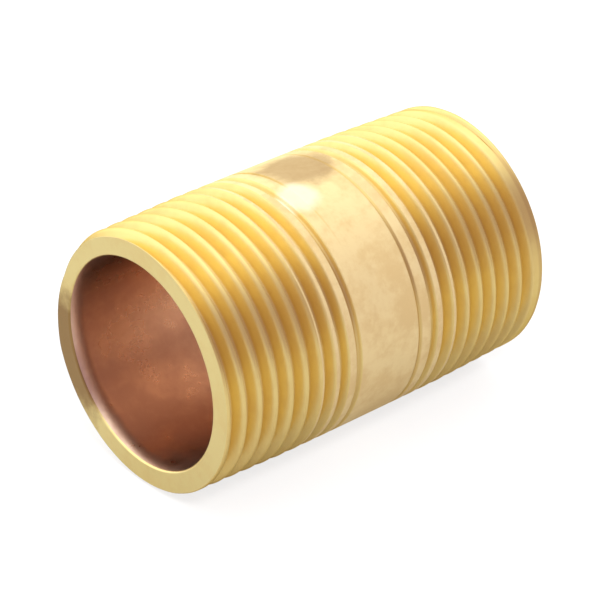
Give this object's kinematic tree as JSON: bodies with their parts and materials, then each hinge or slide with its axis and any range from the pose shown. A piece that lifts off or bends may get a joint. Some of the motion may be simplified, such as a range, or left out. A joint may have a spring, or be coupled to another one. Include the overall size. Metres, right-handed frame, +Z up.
{
  "type": "pipe nipple",
  "caption": "Short brass barrel nipple: a length of pipe with a right-hand taper pipe thread on each end and a plain band between them.",
  "frame": {"origin": "centre of the nipple, on the pipe's axis halfway between the end faces", "axes": "+X along the pipe's axis towards the rear end, +Z up as the nipple lies on its side"},
  "size_m": [0.0508, 0.0334, 0.0334],
  "materials": {
    "brass": "bright yellow brass: freshly cut threads, a duller drawn skin on the plain band, a browner bore"
  },
  "bodies": {
    "root": {"nipple_body": "brass"}
  },
  "joints": []
}
